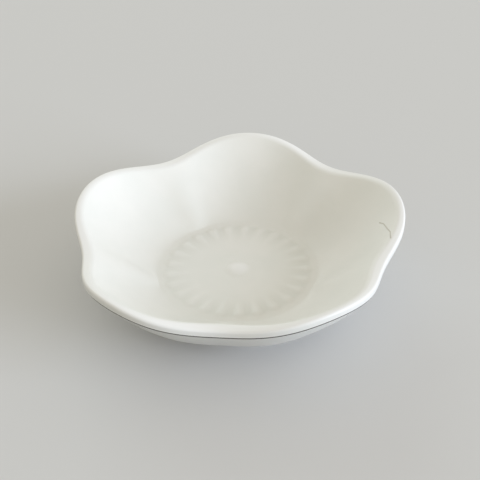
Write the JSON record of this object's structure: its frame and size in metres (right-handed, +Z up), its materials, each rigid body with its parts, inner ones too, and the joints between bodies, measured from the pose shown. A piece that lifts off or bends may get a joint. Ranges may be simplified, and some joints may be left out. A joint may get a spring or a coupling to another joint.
{
  "type": "soy sauce dish",
  "caption": "Small white glazed porcelain dish for soy sauce, in plum-blossom form with a wavy lip, a fine groove under the lip, a raised ring of stamens on its floor and a foot ring",
  "frame": {"origin": "centre of the plane that the foot ring stands on", "axes": "+Z up along the dish's axis, +Y through the middle of one petal"},
  "size_m": [0.0956, 0.0935, 0.0249],
  "materials": {
    "porcelain": "bare fired clay, matt",
    "white_glaze": "soft satin gloss"
  },
  "bodies": {
    "root": {"dish_body": "porcelain", "foot_ring": "porcelain", "glaze_coat": "white_glaze", "recess_glaze": "white_glaze"}
  },
  "joints": []
}
